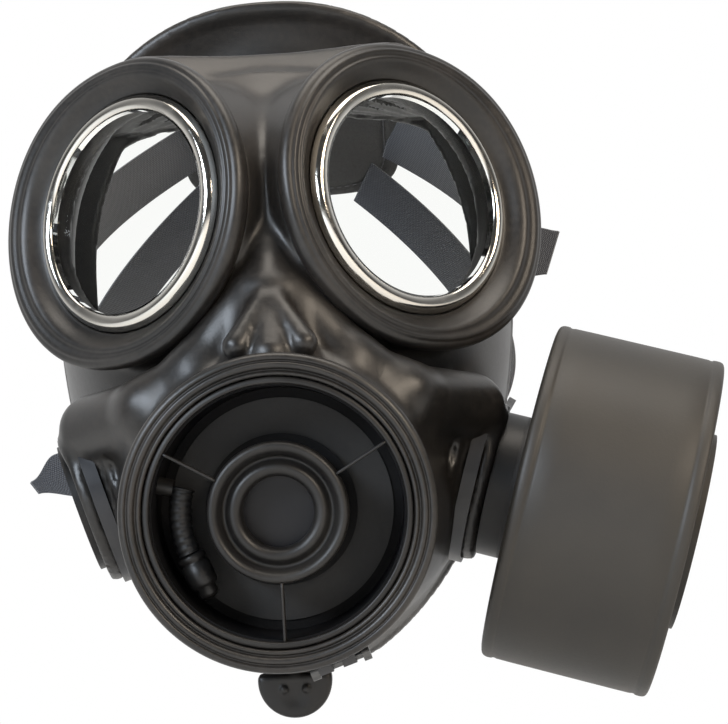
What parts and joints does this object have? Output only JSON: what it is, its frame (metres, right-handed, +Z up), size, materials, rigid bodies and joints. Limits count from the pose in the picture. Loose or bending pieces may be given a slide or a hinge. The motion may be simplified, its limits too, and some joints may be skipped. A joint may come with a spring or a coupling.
{
  "type": "full-face respirator",
  "caption": "Black rubber full-face respirator with round eyepieces, a front speech and outlet cup, a cheek speech port, a screw-on side canister and a strap harness.",
  "frame": {"origin": "middle of the face opening, on the mid-plane, level with the lower edge of the eyepieces", "axes": "+Z up, -Y out of the front of the mask, +X towards the wearer's left, the canister's side"},
  "size_m": [0.2378, 0.2683, 0.271],
  "materials": {
    "black_rubber": "satin moulded butyl rubber",
    "soft_rubber": "matt soft rubber",
    "lens": "clear polycarbonate, polished",
    "bright_metal": "polished aluminium",
    "black_plastic": "fine matt moulded plastic",
    "film": "thin tensioned film",
    "black_steel": "black lacquered band steel",
    "steel": "plated steel",
    "canister_paint": "satin dark grey paint on sheet aluminium",
    "sheet_metal": "bare pressed sheet",
    "carbon": "granular activated carbon",
    "filter_paper": "pleated glass-fibre paper",
    "webbing": "woven elastic webbing"
  },
  "bodies": {
    "mask": {"facepiece": "black_rubber", "face_seal": "black_rubber", "left_lens": "lens", "right_lens": "lens", "left_lens_ring": "bright_metal", "right_lens_ring": "bright_metal", "outlet_housing": "black_plastic", "outlet_cover": "black_plastic", "outlet_valve_stop": "black_plastic", "speech_gasket": "soft_rubber", "speech_diaphragm": "film", "speech_ring": "black_plastic", "front_clamp_band": "black_steel", "front_clamp_screw": "steel", "inlet_connector": "black_plastic", "inlet_gasket": "soft_rubber", "inlet_clamp_band": "black_steel", "cheek_speech_housing": "black_plastic", "cheek_speech_diaphragm": "film", "cheek_speech_ring": "black_plastic", "cheek_speech_cap": "black_plastic", "cheek_clamp_band": "black_steel", "nose_cup": "soft_rubber", "nose_valve_seats": "black_plastic", "head_pad": "webbing", "brow_left_strap": "webbing", "brow_right_strap": "webbing", "temple_left_strap": "webbing", "temple_right_strap": "webbing", "cheek_left_strap": "webbing", "cheek_right_strap": "webbing"},
    "canister": {"canister_body": "canister_paint", "canister_neck": "black_plastic", "carbon_bed": "carbon", "carbon_screens": "sheet_metal", "screen_spacer": "sheet_metal", "particulate_filter": "filter_paper", "filter_retainer": "sheet_metal", "canister_cap": "canister_paint"},
    "washer": {"neck_washer": "soft_rubber"},
    "outlet_valve": {"outlet_valve_disc": "soft_rubber"},
    "inlet_valve": {"inlet_valve_disc": "soft_rubber"},
    "left_nose_valve": {"left_nose_valve_disc": "soft_rubber"},
    "right_nose_valve": {"right_nose_valve_disc": "soft_rubber"},
    "drink_spindle": {"drink_lever": "black_plastic", "drink_mouthpiece": "black_plastic"},
    "drink_hose": {"drink_tube": "soft_rubber", "drink_elbow": "black_plastic", "drink_plug": "black_plastic"},
    "brow_left_buckle": {"brow_left_buckle": "steel"},
    "brow_right_buckle": {"brow_right_buckle": "steel"},
    "temple_left_buckle": {"temple_left_buckle": "steel"},
    "temple_right_buckle": {"temple_right_buckle": "steel"},
    "cheek_left_buckle": {"cheek_left_buckle": "steel"},
    "cheek_right_buckle": {"cheek_right_buckle": "steel"}
  },
  "joints": [
    {"name": "canister_travel", "type": "slide", "parent": "mask", "child": "washer", "axis": [0.9495, -0.0547, -0.309], "range_m": [0, 0.0109]},
    {"name": "canister_turn", "type": "hinge", "parent": "washer", "child": "canister", "pos_m": [0.0731, -0.0289, -0.0369], "axis": [0.9495, -0.0547, -0.309], "range_deg": [0, 1080]},
    {"name": "outlet_valve_lift", "type": "slide", "parent": "mask", "child": "outlet_valve", "axis": [0, -0.9781, -0.2079], "range_m": [0, 0.0025], "stiffness_N_per_m": 20},
    {"name": "inlet_valve_lift", "type": "slide", "parent": "mask", "child": "inlet_valve", "axis": [-0.9495, 0.0547, 0.309], "range_m": [0, 0.002], "stiffness_N_per_m": 20},
    {"name": "left_nose_valve_lift", "type": "slide", "parent": "mask", "child": "left_nose_valve", "axis": [-0.8066, 0.4289, -0.4067], "range_m": [0, 0.0015], "stiffness_N_per_m": 20},
    {"name": "right_nose_valve_lift", "type": "slide", "parent": "mask", "child": "right_nose_valve", "axis": [0.8066, 0.4289, -0.4067], "range_m": [0, 0.0015], "stiffness_N_per_m": 20},
    {"name": "drink_lever_turn", "type": "hinge", "parent": "mask", "child": "drink_spindle", "pos_m": [0, -0.05305, -0.04202], "axis": [0, -0.2079, 0.9781], "range_deg": [0, 80]},
    {"name": "drink_hose_swing", "type": "hinge", "parent": "mask", "child": "drink_hose", "pos_m": [-0.02743, -0.08832, -0.042], "axis": [-0.9659, -0.0538, 0.2532], "range_deg": [0, 75]},
    {"name": "brow_left_buckle_pivot", "type": "hinge", "parent": "mask", "child": "brow_left_buckle", "pos_m": [0.02918, -0.00443, 0.12587], "axis": [0.982, 0.0851, -0.1688], "range_deg": [-25, 35], "deforming": ["brow_left_strap"]},
    {"name": "brow_right_buckle_pivot", "type": "hinge", "parent": "mask", "child": "brow_right_buckle", "pos_m": [-0.02918, -0.00443, 0.12587], "axis": [0.982, -0.0851, 0.1688], "range_deg": [-25, 35], "deforming": ["brow_right_strap"]},
    {"name": "temple_left_buckle_pivot", "type": "hinge", "parent": "mask", "child": "temple_left_buckle", "pos_m": [0.07943, 0.01964, 0.05466], "axis": [-0.3039, 0.5227, -0.7965], "range_deg": [-25, 35], "deforming": ["temple_left_strap"]},
    {"name": "temple_right_buckle_pivot", "type": "hinge", "parent": "mask", "child": "temple_right_buckle", "pos_m": [-0.07943, 0.01964, 0.05466], "axis": [-0.3039, -0.5227, 0.7965], "range_deg": [-25, 35], "deforming": ["temple_right_strap"]},
    {"name": "cheek_left_buckle_pivot", "type": "hinge", "parent": "mask", "child": "cheek_left_buckle", "pos_m": [0.0657, 0.0202, -0.01332], "axis": [-0.456, 0.5989, -0.6583], "range_deg": [-25, 35], "deforming": ["cheek_left_strap"]},
    {"name": "cheek_right_buckle_pivot", "type": "hinge", "parent": "mask", "child": "cheek_right_buckle", "pos_m": [-0.0657, 0.0202, -0.01332], "axis": [-0.456, -0.5989, 0.6583], "range_deg": [-25, 35], "deforming": ["cheek_right_strap"]}
  ],
  "couplings": [
    {"joint": "canister_travel", "follows": "canister_turn", "m_per_rad": 0.00057773}
  ]
}
